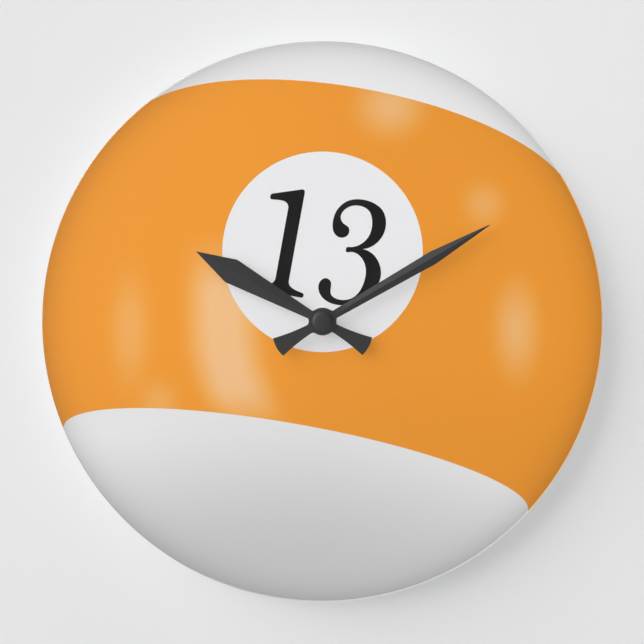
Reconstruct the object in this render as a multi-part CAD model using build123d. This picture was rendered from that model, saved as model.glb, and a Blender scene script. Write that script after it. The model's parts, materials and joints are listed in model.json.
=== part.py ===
from build123d import *

import os
from math import acos, asin, cos, degrees, pi, radians, sin, sqrt, tan

# Round acrylic wall clock, printed like a billiard ball, on a battery quartz movement.
#
# Every piece is drawn in the clock's face frame: x to the right and y up as the reader sees the dial, and z
# from the wall towards the reader. The hands turn about the z axis, and z = 0 is the rear face, which lies on
# the wall. save() stands the clock up: the reader's z becomes -Y and the reader's y becomes +Z.

# ---- driving dimensions, in millimetres -------------------------------------------------------------------

DIAL_R = 136.5            # acrylic disc, 273 mm across
DIAL_T = 3.0
DIAL_CHAMFER = 0.6        # polished bevel left unprinted around both faces
DIAL_HOLE_R = 4.1
INK_T = 0.1               # one coat of print
NUMERAL_INK_T = 0.05

FACE_TURN = -10.3         # the printed ball is rolled clockwise by this many degrees
BALL_R = DIAL_R           # the print is a view of a ball that fills the disc
STRIPE_TOP = (0.590 * BALL_R, 21.3)      # edge circle of the stripe: its height on the ball, and its tilt
STRIPE_BOTTOM = (-0.541 * BALL_R, 10.7)
DOT_R = 48.8              # white spot behind the number
DOT_Y = 33.9

CASE_W = 56.0             # square quartz movement
CASE_T = 16.0
CASE_CORNER = 4.0
WALL = 1.5
BACK_T = 1.2
ROOM_BOTTOM = -10.5       # lowest y of the gear room; the battery bay lies below it
PARTITION_T = 1.0
PARTITION_SLOT = 0.6      # gap at each end of the partition, where a contact strip passes

CELL_R = 7.1              # AA cell
CELL_BODY = 49.3
CELL_NUB_R = 2.6
CELL_NUB = 1.2
CELL_JACKET_T = 0.15
CELL_Y = -19.0
CELL_Z = 7.25
CELL_GAP = 0.05           # between a cell end and its contact

HANGER_T = 1.0
HANGER_W = 24.0
HANGER_TOP = 43.0
HANGER_CORNER = 11.0
HANG_HOLE_R = 3.0
HANG_HOLE_Y = 36.0
GASKET_T = 1.0
GASKET_R = 14.0
WASHER_R = 6.5
WASHER_T = 0.5
NUT_AF = 11.0             # across the flats
NUT_T = 2.4
BUSHING_R = 3.95
BUSHING_BORE_R = 2.56
BUSHING_FLANGE_R = 5.5
BUSHING_FLANGE_T = 0.7
BUSHING_END = 24.5

RUNNING = 0.06            # radial clearance of every turning fit
ARBOR_R = 0.4
SECONDS_R = 0.5
MINUTE_PIPE_R = 1.74
MINUTE_PIPE_BORE_R = SECONDS_R + 0.1
HOUR_PIPE_R = BUSHING_BORE_R - RUNNING
HOUR_PIPE_END = 26.5
MINUTE_PIPE_END = 28.9
SECONDS_END = 28.2

HOUR_HAND_Z = 25.5        # rear face of the hour hand's blade
MINUTE_HAND_Z = 27.4
HAND_EDGE_T = 0.35
HAND_RIDGE_T = 0.85
HAND_COLLAR_T = 0.6
HOUR_HAND_TURN = 151.0    # degrees anticlockwise from the reader's right
MINUTE_HAND_TURN = 30.0
HAND_ROOT = 2.0           # half width beside the hub
HUB_R = 6.7
TAIL_R = 25.2             # to the corners of the tail
TAIL_SPREAD = 11.2        # degrees either side of the hand's axis
TAIL_BULGE = 0.8          # how far the tail's end stands out past its corners
CAP_R = 5.2
CAP_T = 2.0

# ---- gear train -------------------------------------------------------------------------------------------

PRESSURE = radians(20)
TOOTH_SHARE = 0.42        # of the circular pitch, so the teeth never rub
WHEEL_ADDENDUM = 0.55     # in modules
PINION_ADDENDUM = 0.85
DEDENDUM = 1.1

MOTION_M = 7 / 24         # module of cannon pinion, minute wheel and setting pinion
HOUR_M = 0.28
CENTRE_M = 17 / 72
THIRD_M = 0.25
SECONDS_M = 0.30
FIFTH_M = 0.25

CANNON_TEETH = 12
MINUTE_WHEEL_TEETH = 36
MINUTE_PINION_TEETH = 10
HOUR_WHEEL_TEETH = 40
SETTING_TEETH = 12
CENTRE_TEETH = 64
THIRD_TEETH = 60
SECONDS_TEETH = 48
FIFTH_TEETH = 40
LEAVES = 8                # leaves of each small going-train pinion

MINUTE_WHEEL_DIRECTION = 180.0
KNOB_DIRECTION = 205.0
THIRD_DIRECTION = 100.0
FIFTH_DIRECTION = -10.0
ROTOR_DIRECTION = 40.0


def spacing(module, teeth_a, teeth_b):
    """Distance between the axes of two meshed gears."""
    return module * (teeth_a + teeth_b) / 2


def step(start, direction, distance):
    """The point at this distance and direction, in degrees, from start."""
    return (start[0] + distance * cos(radians(direction)), start[1] + distance * sin(radians(direction)))


ARBOR = (0.0, 0.0)
MINUTE_WHEEL_AT = step(ARBOR, MINUTE_WHEEL_DIRECTION, spacing(MOTION_M, CANNON_TEETH, MINUTE_WHEEL_TEETH))
KNOB_AT = step(MINUTE_WHEEL_AT, KNOB_DIRECTION, spacing(MOTION_M, SETTING_TEETH, MINUTE_WHEEL_TEETH))
THIRD_AT = step(ARBOR, THIRD_DIRECTION, spacing(CENTRE_M, LEAVES, CENTRE_TEETH))
FIFTH_AT = step(ARBOR, FIFTH_DIRECTION, spacing(SECONDS_M, LEAVES, SECONDS_TEETH))
ROTOR_AT = step(FIFTH_AT, ROTOR_DIRECTION, spacing(FIFTH_M, LEAVES, FIFTH_TEETH))

# levels of the train, rear face and front face
FIFTH_WHEEL_Z = (3.5, 4.2)
FIFTH_PINION_Z = (4.9, 5.8)
ROTOR_PINION_Z = (3.4, 4.3)
MAGNET_Z = (4.9, 7.5)
SECONDS_WHEEL_Z = (5.0, 5.7)
SECONDS_PINION_Z = (6.9, 8.0)
THIRD_WHEEL_Z = (7.1, 7.9)
THIRD_PINION_Z = (9.4, 10.4)
CENTRE_WHEEL_Z = (9.5, 10.3)
CANNON_Z = (11.0, 12.2)
MINUTE_WHEEL_Z = (11.1, 12.1)
MINUTE_PINION_Z = (12.1, 13.6)
HOUR_WHEEL_Z = (12.6, 13.5)
BRIDGE_Z = (8.4, 9.1)
STATOR_Z = (6.0, 6.6)
BOARD_Z = (3.5, 4.5)
PLATE_Z = (CASE_T - WALL, CASE_T)   # front wall of the case

REAR_PIVOT = 1.8          # rear end of every arbor
BOSS_TOP = 2.8
BOSS_R = 1.3
MAGNET_R = 3.0
KNOB_R = 5.6
KNOB_Z = (0.4, 1.5)
KNOB_SHAFT_R = 0.9
KNOB_DISH_R = 6.1
KNOB_DISH_DEPTH = 1.7
STUD_R = 0.7

TONGUE_X = 16.0           # two tongues hold the rear cover behind the top wall
TONGUE_W = 5.0
TONGUE_T = 0.8
TONGUE_H = 1.6

STATOR_HUB_R = 5.2
STATOR_ARM_W = 3.0
STATOR_ARM_START = 4.1    # how far from the rotor each arm leaves the hub
STATOR_ARM_ANGLE = 75.0

# coil, on the right of the gear room
COIL_X = 23.3
COIL_Z = 7.0
COIL_W = 5.4
COIL_H = 5.6
COIL_Y = (-3.0, 15.0)
CORE_W = 2.0
CORE_T = 0.8
CORE_Y = (-7.0, 18.5)
FLANGE_T = 1.0
LEAD_R = 0.15
LEAD_SPREAD = 1.4         # each lead's distance from the coil's middle
LEAD_REACH = 5.4

BOARD_Y = 22.8
BOARD_W = 51.6
BOARD_H = 6.6
CHIP_X = -4.0
CHIP_DROP_R = 3.2         # sphere that the resin drop is the top of
CHIP_DROP_SINK = 1.6
CRYSTAL_X = 5.0
CRYSTAL_R = 1.0
CRYSTAL_L = 6.0
CONTACT_T = 0.4
CONTACT_HALF_W = 5.0
CONTACT_Z = (2.5, 12.5)
STRIP_Z = (2.5, 4.9)      # strip from each contact up to the board
TAB_Y = (20.5, 22.5)
TAB_L = 3.0

# height of everything in the stack on the bushing
HANGER_Z = CASE_T
GASKET_Z = HANGER_Z + HANGER_T
DIAL_Z = GASKET_Z + GASKET_T
BASE_Z = DIAL_Z + DIAL_T
COLOUR_Z = BASE_Z + INK_T
NUMERAL_Z = COLOUR_Z + INK_T
WASHER_Z = NUMERAL_Z
NUT_Z = WASHER_Z + WASHER_T

BRIDGE_POSTS = [(17.5, 8.0), (6.0, -8.0), (-10.0, 12.0)]
STATOR_POSTS = [(19.5, 17.0), (18.5, -5.5)]
BOARD_POSTS = [(-18.0, 23.0), (18.0, 23.0)]
POST_R = 1.3


# ---- helpers ----------------------------------------------------------------------------------------------

ON_BASE = (Align.CENTER, Align.CENTER, Align.MIN)   # a cylinder or cone that starts at its base


def slab(face, z0, z1):
    """A flat face given thickness from z0 to z1."""
    return Pos(0, 0, z0) * extrude(face, amount=z1 - z0)


def disc(radius, z0, z1, at=ARBOR):
    """A solid cylinder along z."""
    return slab(Pos(at[0], at[1]) * Circle(radius), z0, z1)


def ring(outer, inner, z0, z1, at=ARBOR):
    """A tube along z."""
    return slab(Pos(at[0], at[1]) * (Circle(outer) - Circle(inner)), z0, z1)


def block(xs, ys, zs):
    """A box between two values on each axis."""
    centre = Pos((xs[0] + xs[1]) / 2, (ys[0] + ys[1]) / 2, (zs[0] + zs[1]) / 2)
    return centre * Box(xs[1] - xs[0], ys[1] - ys[0], zs[1] - zs[0])


def bar(start, end, width):
    """A straight bar with round ends, as a face."""
    length = sqrt((end[0] - start[0]) ** 2 + (end[1] - start[1]) ** 2)
    across = ((end[1] - start[1]) / length * width / 2, (start[0] - end[0]) / length * width / 2)
    sides = [
        (start[0] + across[0], start[1] + across[1]),
        (end[0] + across[0], end[1] + across[1]),
        (end[0] - across[0], end[1] - across[1]),
        (start[0] - across[0], start[1] - across[1]),
    ]
    ends = Pos(*start) * Circle(width / 2) + Pos(*end) * Circle(width / 2)
    return make_face(Polyline(*sides, close=True)) + ends


def gear_face(teeth, module, addendum, turn, at):
    """A gear's outline with involute flanks and one tooth centred on the direction turn, in degrees."""
    pitch_r = module * teeth / 2
    base_r = pitch_r * cos(PRESSURE)
    root_r = pitch_r - DEDENDUM * module
    tip_r = pitch_r + addendum * module

    def involute(radius):
        angle = acos(min(1.0, base_r / radius))
        return tan(angle) - angle

    def half_angle(radius):
        return TOOTH_SHARE * pi / teeth + involute(pitch_r) - involute(radius)

    radii = [root_r, (root_r + pitch_r) / 2, pitch_r, tip_r]
    points = []
    for tooth in range(teeth):
        middle = radians(turn) + 2 * pi * tooth / teeth
        flank = [(r, middle - half_angle(r)) for r in radii]
        flank += [(r, middle + half_angle(r)) for r in reversed(radii)]
        points += [(at[0] + r * cos(a), at[1] + r * sin(a)) for r, a in flank]
    return make_face(Polyline(*points, close=True))


def meshed_turn(turn, teeth, other_teeth, direction):
    """How far to turn a gear so that its gaps take the teeth of a gear that is already placed.

    turn and teeth belong to the placed gear, and direction leads from it to the other one.
    """
    pitch = 360 / teeth
    share = ((direction - turn) % pitch) / pitch
    return direction + 180 + (share + 0.5) * 360 / other_teeth


def wheel(teeth, module, turn, at, levels, hub_r=0.0):
    """A wheel with a rim, crossings and a hub on the given levels."""
    face = gear_face(teeth, module, WHEEL_ADDENDUM, turn, at)
    if hub_r:
        rim_r = module * teeth / 2 - 4 * module
        window = Pos(*step(at, turn, (rim_r + hub_r) / 2)) * Circle((rim_r - hub_r) / 2 * 0.8)
        for spoke in range(5):
            face -= Pos(*at) * (Rotation(0, 0, 72 * spoke) * (Pos(-at[0], -at[1]) * window))
    return slab(face, *levels)


def pinion(teeth, module, turn, at, levels):
    """A small gear with tall leaves."""
    return slab(gear_face(teeth, module, PINION_ADDENDUM, turn, at), *levels)


def save(node, shape):
    """Write one piece, standing upright."""
    export_step(Rotation(90, 0, 0) * shape, f"parts/{node}.step")


# ---- dial and print ---------------------------------------------------------------------------------------

def dial_disc():
    """Acrylic disc with both rims bevelled."""
    plate = ring(DIAL_R, DIAL_HOLE_R, DIAL_Z, DIAL_Z + DIAL_T)
    rims = plate.edges().filter_by(GeomType.CIRCLE).filter_by(lambda e: e.radius > DIAL_HOLE_R + 1)
    return chamfer(rims, DIAL_CHAMFER)


def printed_area():
    """The part of the dial's face that takes ink."""
    return Circle(DIAL_R - DIAL_CHAMFER) - Circle(DIAL_HOLE_R)


def edge_circle(height, tilt):
    """A circle around the ball, seen from the front: its ellipse, and the y where it meets the ball's rim."""
    wide = sqrt(BALL_R ** 2 - height ** 2)
    ellipse = Pos(0, height * cos(radians(tilt))) * Ellipse(wide, wide * sin(radians(tilt)))
    return ellipse, height / cos(radians(tilt))


def stripe_face():
    """The broad coloured band, between the white top and the white bottom."""
    tall = 2 * BALL_R
    top_ellipse, top_y = edge_circle(*STRIPE_TOP)
    white_top = Pos(0, top_y + tall / 2) * Rectangle(tall, tall) - top_ellipse
    bottom_ellipse, bottom_y = edge_circle(*STRIPE_BOTTOM)
    white_bottom = Pos(0, bottom_y - tall / 2) * Rectangle(tall, tall) + bottom_ellipse
    return Rotation(0, 0, FACE_TURN) * (Circle(DIAL_R - DIAL_CHAMFER) - white_top - white_bottom)


def dot_face():
    return Pos(0, DOT_Y) * Circle(DOT_R)


def one_outline():
    """Figure one: a straight stem with a flag and a bracketed foot, in the dot's own frame."""
    return [
        Line((-13.6, 26.9), (-13.6, -16.5)),
        Spline((-13.6, -16.5), (-11.3, -20.0), (-6.0, -21.5), tangents=[(0, -1), (1, -0.2)]),
        Polyline((-6.0, -21.5), (-5.3, -22.0), (-5.3, -23.2), (-6.0, -23.8), (-27.8, -23.8), (-28.5, -23.2)),
        Polyline((-28.5, -23.2), (-28.5, -22.0), (-27.8, -21.5)),
        Spline((-27.8, -21.5), (-22.5, -20.0), (-20.2, -16.5), tangents=[(1, 0.2), (0, 1)]),
        Line((-20.2, -16.5), (-20.2, 17.6)),
        Spline((-20.2, 17.6), (-21.6, 20.4), (-24.6, 21.1), tangents=[(0, 1), (-1, 0)]),
        Polyline((-24.6, 21.1), (-29.2, 20.7), (-29.8, 21.4), (-29.8, 22.8), (-29.2, 23.5)),
        Polyline((-29.2, 23.5), (-15.0, 28.2), (-14.0, 28.0), (-13.6, 26.9)),
    ]


def three_outline():
    """Figure three: two bowls that swell to the right, each ending in a ball, and a short middle serif."""
    waist = (19.0, 4.8)
    upper_bowl = [
        waist, (25.7, 9.6), (28.1, 17.0), (25.2, 25.0), (15.6, 28.5), (7.6, 26.5), (3.2, 21.0),
        (2.4, 14.5), (4.2, 9.8), (7.6, 8.4), (10.8, 10.6), (10.4, 13.9), (7.6, 15.4), (5.7, 18.2),
        (7.2, 22.4), (12.6, 25.2), (18.6, 23.7), (21.3, 18.0), (20.6, 11.0), (16.6, 6.2), (11.9, 4.6),
    ]
    lower_bowl = [
        (12.0, 1.9), (16.4, 2.2), (20.9, -1.5), (22.6, -10.0), (18.8, -19.0), (12.4, -21.4), (7.8, -19.6),
        (7.1, -16.4), (6.4, -13.4), (4.0, -12.3), (1.5, -14.2), (1.3, -18.2), (4.4, -22.2), (10.4, -24.1),
        (19.0, -22.2), (27.0, -15.4), (30.0, -6.4), (26.2, 1.8), waist,
    ]
    serif = Polyline(upper_bowl[-1], (11.0, 4.1), (11.0, 2.3), lower_bowl[0])
    return [Spline(*upper_bowl), serif, Spline(*lower_bowl)]


def numeral_faces():
    """Both figures, in place on the dial."""
    place = Pos(0, DOT_Y) * Rotation(0, 0, FACE_TURN)
    return [place * make_face(one_outline()), place * make_face(three_outline())]


def save_dial():
    save("dial_disc", dial_disc())
    save("print_white_base", slab(printed_area(), BASE_Z, COLOUR_Z))
    save("print_orange_band", slab(stripe_face() - dot_face(), COLOUR_Z, NUMERAL_Z))
    save("print_number_dot", slab(dot_face() - Circle(DIAL_HOLE_R), COLOUR_Z, NUMERAL_Z))
    figures = [slab(face, NUMERAL_Z, NUMERAL_Z + NUMERAL_INK_T) for face in numeral_faces()]
    save("print_numerals", Compound(children=figures))


# ---- stack on the bushing ---------------------------------------------------------------------------------

def hanger_plate():
    """Steel plate behind the dial, with an eye that stands above the movement."""
    foot = -HANGER_W / 2
    face = Pos(0, (HANGER_TOP + foot) / 2) * RectangleRounded(HANGER_W, HANGER_TOP - foot, HANGER_CORNER)
    face -= Circle(DIAL_HOLE_R)
    face -= Pos(0, HANG_HOLE_Y) * Circle(HANG_HOLE_R)
    return slab(face, HANGER_Z, GASKET_Z)


def arbor_bushing():
    """Threaded bushing that clamps the dial to the movement."""
    flange = ring(BUSHING_FLANGE_R, BUSHING_BORE_R, PLATE_Z[0] - BUSHING_FLANGE_T, PLATE_Z[0])
    tube = ring(BUSHING_R, BUSHING_BORE_R, PLATE_Z[0] - BUSHING_FLANGE_T, BUSHING_END)
    return flange + tube


def dial_nut():
    """Hexagon nut with its front corners turned off."""
    corner_r = NUT_AF / sqrt(3)
    hexagon = slab(RegularPolygon(corner_r, 6) - Circle(BUSHING_R), NUT_Z, NUT_Z + NUT_T)
    rounding = Cone(corner_r + NUT_T, NUT_AF / 2 - 0.2, NUT_T, align=ON_BASE)
    return hexagon & (Pos(0, 0, NUT_Z) * rounding)


def save_stack():
    save("hanger_plate", hanger_plate())
    save("dial_gasket", ring(GASKET_R, DIAL_HOLE_R, GASKET_Z, DIAL_Z))
    save("arbor_bushing", arbor_bushing())
    save("dial_washer", ring(WASHER_R, DIAL_HOLE_R, WASHER_Z, NUT_Z))
    save("dial_nut", dial_nut())


# ---- movement case ----------------------------------------------------------------------------------------

def case_face(inset=0.0):
    return RectangleRounded(CASE_W - 2 * inset, CASE_W - 2 * inset, CASE_CORNER - inset)


def case_front():
    """Front shell: dial-side wall, four sides, battery partition and the posts that carry the works."""
    shell = slab(case_face(), BACK_T, CASE_T) - slab(case_face(WALL), BACK_T, PLATE_Z[0])
    half_w = CASE_W / 2 - WALL - PARTITION_SLOT
    shell += block((-half_w, half_w), (ROOM_BOTTOM - PARTITION_T, ROOM_BOTTOM), (BACK_T, PLATE_Z[0]))
    for at in BRIDGE_POSTS:
        shell += disc(POST_R, BRIDGE_Z[1], PLATE_Z[0], at)
    for at in STATOR_POSTS:
        shell += disc(POST_R, STATOR_Z[1], PLATE_Z[0], at)
    for at in BOARD_POSTS:
        shell += disc(POST_R, BOARD_Z[1], PLATE_Z[0], at)
    for at, foot in ((THIRD_AT, THIRD_PINION_Z[1] + 0.5), (KNOB_AT, CANNON_Z[1] + 0.5)):
        shell += disc(BOSS_R, foot, PLATE_Z[0], at)
        shell -= disc(ARBOR_R + RUNNING, foot, PLATE_Z[0] - 0.3, at)
    shell += disc(STUD_R, CENTRE_WHEEL_Z[1] + 0.3, PLATE_Z[0], MINUTE_WHEEL_AT)
    return shell - disc(BUSHING_R, PLATE_Z[0], CASE_T)


def case_back():
    """Rear cover: flat on the wall, open at the battery bay, with a dish for the setting knob."""
    inner = CASE_W / 2 - WALL
    cover = slab(case_face(), 0, BACK_T)
    bay = (ROOM_BOTTOM - PARTITION_T - 0.1, -CASE_W / 2 + WALL + 0.1)
    cover -= block((-inner + 0.5, inner - 0.5), (bay[1], bay[0]), (0, BACK_T))
    cover += disc(KNOB_DISH_R + 0.8, BACK_T, BOSS_TOP, KNOB_AT)
    cover -= disc(KNOB_DISH_R, 0, KNOB_DISH_DEPTH, KNOB_AT)
    cover -= disc(KNOB_SHAFT_R + RUNNING, 0, BOSS_TOP, KNOB_AT)
    for at, pivot_r in ((ARBOR, SECONDS_R), (THIRD_AT, ARBOR_R), (FIFTH_AT, ARBOR_R), (ROTOR_AT, ARBOR_R)):
        cover += disc(BOSS_R, BACK_T, BOSS_TOP, at)
        cover -= disc(pivot_r + RUNNING, REAR_PIVOT - 0.2, BOSS_TOP, at)
    for x in (-TONGUE_X, TONGUE_X):
        ys = (inner - 0.05 - TONGUE_T, inner - 0.05)
        cover += block((x - TONGUE_W / 2, x + TONGUE_W / 2), ys, (0, BACK_T + TONGUE_H))
    return cover


def train_bridge():
    """Inner plate with the front bearings of rotor, fifth wheel and seconds arbor."""
    corners = Sketch() + [Pos(*at) * Circle(2.4) for at in BRIDGE_POSTS]
    face = make_hull(corners.edges())
    for at, pivot_r in ((ARBOR, SECONDS_R), (FIFTH_AT, ARBOR_R), (ROTOR_AT, ARBOR_R)):
        face -= Pos(*at) * Circle(pivot_r + RUNNING)
    face -= Pos(*THIRD_AT) * Circle(1.4)
    return slab(face, *BRIDGE_Z)


def save_case():
    save("case_front", case_front())
    save("case_back", case_back())
    save("train_bridge", train_bridge())


# ---- motor and electronics --------------------------------------------------------------------------------

def stator():
    """Soft-iron plate around the rotor, with an arm to each end of the coil's core."""
    face = Pos(*ROTOR_AT) * Circle(STATOR_HUB_R)
    for angle, knee in zip((STATOR_ARM_ANGLE, -STATOR_ARM_ANGLE), STATOR_POSTS):
        start = step(ROTOR_AT, angle, STATOR_ARM_START)
        face += bar(start, knee, STATOR_ARM_W)
        face += bar(knee, (COIL_X, knee[1]), STATOR_ARM_W)
    face -= Pos(*ROTOR_AT) * Circle(MAGNET_R + 0.3)
    return slab(face, *STATOR_Z)


def coil_core():
    """Iron bar through the coil, lying on the stator's arms."""
    xs = (COIL_X - CORE_W / 2, COIL_X + CORE_W / 2)
    return block(xs, CORE_Y, (STATOR_Z[1], STATOR_Z[1] + CORE_T))


def coil_section(width, height, ys):
    """A box around the coil's axis."""
    return block((COIL_X - width / 2, COIL_X + width / 2), ys, (COIL_Z - height / 2, COIL_Z + height / 2))


def coil_bobbin():
    """Plastic former: a thin square tube between two flanges."""
    tube = coil_section(CORE_W + 1, CORE_T + 1, COIL_Y)
    low_flange = coil_section(COIL_W, COIL_H, (COIL_Y[0], COIL_Y[0] + FLANGE_T))
    high_flange = coil_section(COIL_W, COIL_H, (COIL_Y[1] - FLANGE_T, COIL_Y[1]))
    return tube + low_flange + high_flange - coil_section(CORE_W, CORE_T, COIL_Y)


def coil_winding():
    """Copper wire, wound to a block with round corners."""
    ys = (COIL_Y[0] + FLANGE_T, COIL_Y[1] - FLANGE_T)
    body = coil_section(COIL_W - 0.6, COIL_H - 0.8, ys)
    body = fillet(body.edges().filter_by(Axis.Y), 1.2)
    return body - coil_section(CORE_W + 1, CORE_T + 1, ys)


def coil_leads():
    """The two ends of the winding, run straight to the circuit board."""
    lead = Rotation(-90, 0, 0) * Cylinder(LEAD_R, LEAD_REACH, align=ON_BASE)
    return [Pos(COIL_X + side * LEAD_SPREAD, COIL_Y[1], BOARD_Z[1] + LEAD_R) * lead for side in (-1, 1)]


def circuit_board():
    """Narrow board along the top of the case, with round corners that clear the case's own."""
    return slab(Pos(0, BOARD_Y) * RectangleRounded(BOARD_W, BOARD_H, 2.0), *BOARD_Z)


def chip_blob():
    """Drop of resin over the bare chip."""
    drop = Pos(CHIP_X, BOARD_Y, BOARD_Z[1] - CHIP_DROP_SINK) * Sphere(CHIP_DROP_R)
    xs = (CHIP_X - CHIP_DROP_R, CHIP_X + CHIP_DROP_R)
    ys = (BOARD_Y - CHIP_DROP_R, BOARD_Y + CHIP_DROP_R)
    return drop & block(xs, ys, (BOARD_Z[1], BOARD_Z[1] + CHIP_DROP_R))


def quartz_crystal():
    """Small metal can of the 32 kHz crystal, lying on the board."""
    can = Rotation(0, 90, 0) * Cylinder(CRYSTAL_R, CRYSTAL_L, align=ON_BASE)
    return Pos(CRYSTAL_X, BOARD_Y, BOARD_Z[1] + CRYSTAL_R) * can


def contact(side):
    """Battery contact, strip and soldering tab on one side wall: side is 1 at the nub and -1 at the base."""
    wall = CASE_W / 2 - WALL
    sheet = sorted((side * wall, side * (wall - CONTACT_T)))
    tab = sorted((side * wall, side * (wall - TAB_L)))
    piece = block(sheet, (CELL_Y - CONTACT_HALF_W, CELL_Y + CONTACT_HALF_W), CONTACT_Z)
    piece += block(sheet, (CELL_Y + CONTACT_HALF_W, TAB_Y[1]), STRIP_Z)
    piece += block(tab, TAB_Y, (BOARD_Z[1], STRIP_Z[1]))
    return piece


def cell_ends():
    """x of the cell's flat base and of its nub's tip, centred between the contacts."""
    half = (CELL_BODY + CELL_NUB) / 2
    return -half, half


def contact_positive():
    """The nub presses on a raised round dimple."""
    tip = cell_ends()[1] + CELL_GAP
    sheet = CASE_W / 2 - WALL - CONTACT_T
    dimple = Rotation(0, 90, 0) * Cone(1.4, 2.2, sheet - tip, align=ON_BASE)
    return contact(1) + Pos(tip, CELL_Y, CELL_Z) * dimple


def contact_negative():
    """The base presses on a sprung tongue, bowed out of the sheet."""
    base = cell_ends()[0] - CELL_GAP
    sheet = -(CASE_W / 2 - WALL - CONTACT_T)
    bow = [
        ThreePointArc((sheet, CELL_Y - 4), (base, CELL_Y), (sheet, CELL_Y + 4)),
        ThreePointArc((sheet, CELL_Y + 3.2), (base - 0.35, CELL_Y), (sheet, CELL_Y - 3.2)),
        Line((sheet, CELL_Y - 3.2), (sheet, CELL_Y - 4)),
        Line((sheet, CELL_Y + 4), (sheet, CELL_Y + 3.2)),
    ]
    return contact(-1) + slab(make_face(bow), CELL_Z - 1.5, CELL_Z + 1.5)


def save_works():
    save("stator", stator())
    save("coil_core", coil_core())
    save("coil_bobbin", coil_bobbin())
    save("coil_winding", coil_winding())
    save("coil_leads", Compound(children=coil_leads()))
    save("circuit_board", circuit_board())
    save("chip_blob", chip_blob())
    save("quartz_crystal", quartz_crystal())
    save("contact_positive", contact_positive())
    save("contact_negative", contact_negative())


# ---- battery ----------------------------------------------------------------------------------------------

def along_cell(radius, x0, x1):
    """A cylinder on the cell's axis."""
    return Pos(x0, CELL_Y, CELL_Z) * (Rotation(0, 90, 0) * Cylinder(radius, x1 - x0, align=ON_BASE))


def save_battery():
    base, tip = cell_ends()
    shoulder = tip - CELL_NUB
    can = along_cell(CELL_R - CELL_JACKET_T, base, shoulder)
    can = fillet(can.edges().filter_by(GeomType.CIRCLE), 0.5)
    nub = along_cell(CELL_NUB_R, shoulder, tip)
    save("battery_can", can + nub)
    jacket = along_cell(CELL_R, base + 0.6, shoulder - 0.6)
    save("battery_jacket", jacket - along_cell(CELL_R - CELL_JACKET_T, base, shoulder))


# ---- turning pieces ---------------------------------------------------------------------------------------

def arbor(at, z1, radius=ARBOR_R):
    return disc(radius, REAR_PIVOT, z1, at)


def save_motion_work():
    """Cannon pinion and pipe, minute wheel, hour wheel and setting knob."""
    cannon_turn = MINUTE_WHEEL_DIRECTION
    minute_turn = meshed_turn(cannon_turn, CANNON_TEETH, MINUTE_WHEEL_TEETH, MINUTE_WHEEL_DIRECTION)
    setting_turn = meshed_turn(minute_turn, MINUTE_WHEEL_TEETH, SETTING_TEETH, KNOB_DIRECTION)
    small_turn = MINUTE_WHEEL_DIRECTION + 180
    hour_turn = meshed_turn(small_turn, MINUTE_PINION_TEETH, HOUR_WHEEL_TEETH, small_turn)

    pipe = pinion(CANNON_TEETH, MOTION_M, cannon_turn, ARBOR, CANNON_Z)
    pipe += disc(MINUTE_PIPE_R, CANNON_Z[1], MINUTE_PIPE_END)
    save("minute_pipe", pipe - disc(MINUTE_PIPE_BORE_R, CANNON_Z[0], MINUTE_PIPE_END))

    hour = wheel(HOUR_WHEEL_TEETH, HOUR_M, hour_turn, ARBOR, HOUR_WHEEL_Z)
    hour += disc(HOUR_PIPE_R, HOUR_WHEEL_Z[0], HOUR_PIPE_END)
    save("hour_wheel", hour - disc(MINUTE_PIPE_R + RUNNING, HOUR_WHEEL_Z[0], HOUR_PIPE_END))

    minute = wheel(MINUTE_WHEEL_TEETH, MOTION_M, minute_turn, MINUTE_WHEEL_AT, MINUTE_WHEEL_Z, hub_r=1.6)
    minute += pinion(MINUTE_PINION_TEETH, HOUR_M, small_turn, MINUTE_WHEEL_AT, MINUTE_PINION_Z)
    bore = disc(STUD_R + RUNNING, MINUTE_WHEEL_Z[0], MINUTE_PINION_Z[1], MINUTE_WHEEL_AT)
    save("minute_wheel", minute - bore)

    knob = pinion(SETTING_TEETH, MOTION_M, setting_turn, KNOB_AT, CANNON_Z)
    knob += disc(KNOB_SHAFT_R, KNOB_Z[0], CANNON_Z[1], KNOB_AT)
    knob += disc(ARBOR_R, CANNON_Z[1], PLATE_Z[0] - 0.6, KNOB_AT)
    knob += slab(knob_face(), *KNOB_Z)
    save("setting_knob", knob)


def knob_face():
    """Thumb knob with a scalloped rim."""
    face = Pos(*KNOB_AT) * Circle(KNOB_R)
    scallops = 24
    for index in range(scallops):
        face -= Pos(*step(KNOB_AT, 360 * index / scallops, KNOB_R + 0.15)) * Circle(0.45)
    return face


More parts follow.
